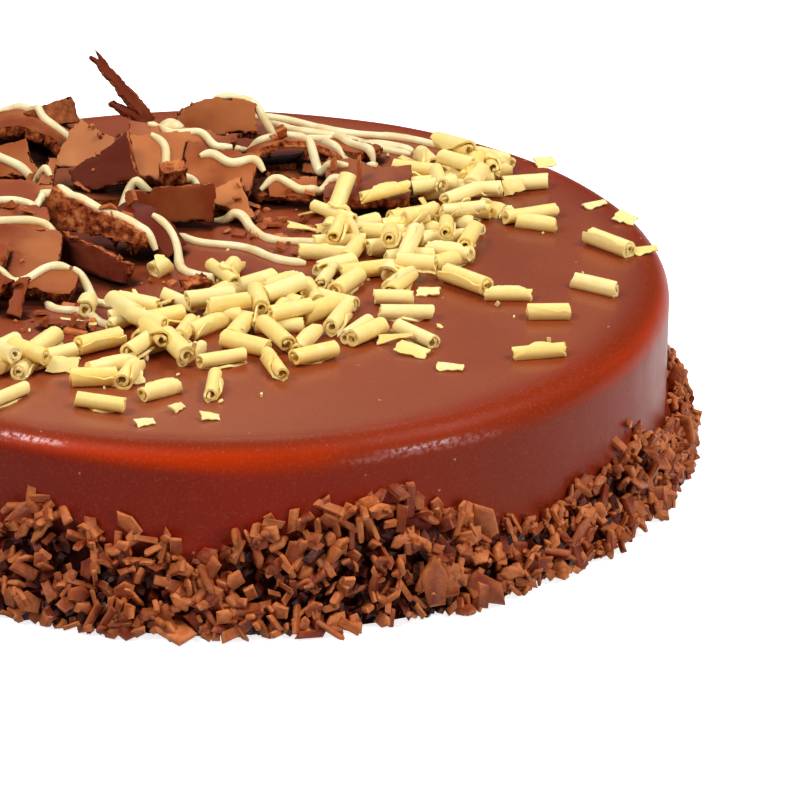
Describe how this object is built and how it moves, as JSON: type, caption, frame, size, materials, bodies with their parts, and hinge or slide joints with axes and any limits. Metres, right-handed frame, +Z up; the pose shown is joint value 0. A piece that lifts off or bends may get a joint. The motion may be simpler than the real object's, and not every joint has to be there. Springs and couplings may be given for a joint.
{
  "type": "chocolate torte",
  "caption": "Round glazed chocolate torte with chopped chocolate round its foot, a pile of milk chocolate bark, white chocolate curls and white drizzle on top.",
  "frame": {"origin": "middle of the cake's flat base, on the surface it stands on", "axes": "+Z up out of the top, the pile of bark towards -X and +Y, the viewer of the picture at -Y"},
  "size_m": [0.2656, 0.2684, 0.0834],
  "materials": {
    "glaze": "satin chocolate glaze",
    "milk_chocolate": "satin milk chocolate",
    "chopped_chocolate": "matt chopped chocolate",
    "white_chocolate": "satin white chocolate"
  },
  "bodies": {
    "root": {"cake": "glaze", "bed_middle": "milk_chocolate", "bed_back": "milk_chocolate", "bed_left": "milk_chocolate", "bed_far_left": "milk_chocolate", "slab_low_left": "milk_chocolate", "slab_left_front": "milk_chocolate", "slab_left_back": "milk_chocolate", "slab_left_top": "milk_chocolate", "slab_broken": "milk_chocolate", "slab_on_edge": "milk_chocolate", "plate_rounded": "milk_chocolate", "plate_facing": "milk_chocolate", "fold_left": "milk_chocolate", "fold_right": "milk_chocolate", "plate_top": "milk_chocolate", "plate_mid": "milk_chocolate", "chunk_top": "milk_chocolate", "arch_left": "milk_chocolate", "crest_left": "milk_chocolate", "wing_left": "milk_chocolate", "plate_back": "milk_chocolate", "arch_right": "milk_chocolate", "arch_floor": "milk_chocolate", "plate_right": "milk_chocolate", "chip_leaning": "milk_chocolate", "chip_front": "milk_chocolate", "chip_arch": "milk_chocolate", "chip_under": "milk_chocolate", "chip_left": "milk_chocolate", "chip_upright": "milk_chocolate", "chip_small": "milk_chocolate", "slab_edge_left": "milk_chocolate", "sliver_left": "milk_chocolate", "sliver_edge": "milk_chocolate", "splinter": "milk_chocolate", "splinter_prong": "milk_chocolate", "chunk_crumbly": "milk_chocolate", "flat_flake": "milk_chocolate", "far_slab": "milk_chocolate", "far_plate": "milk_chocolate", "far_arch": "milk_chocolate", "far_leaning": "milk_chocolate", "back_slab": "milk_chocolate", "back_chip": "milk_chocolate"}
  },
  "joints": []
}
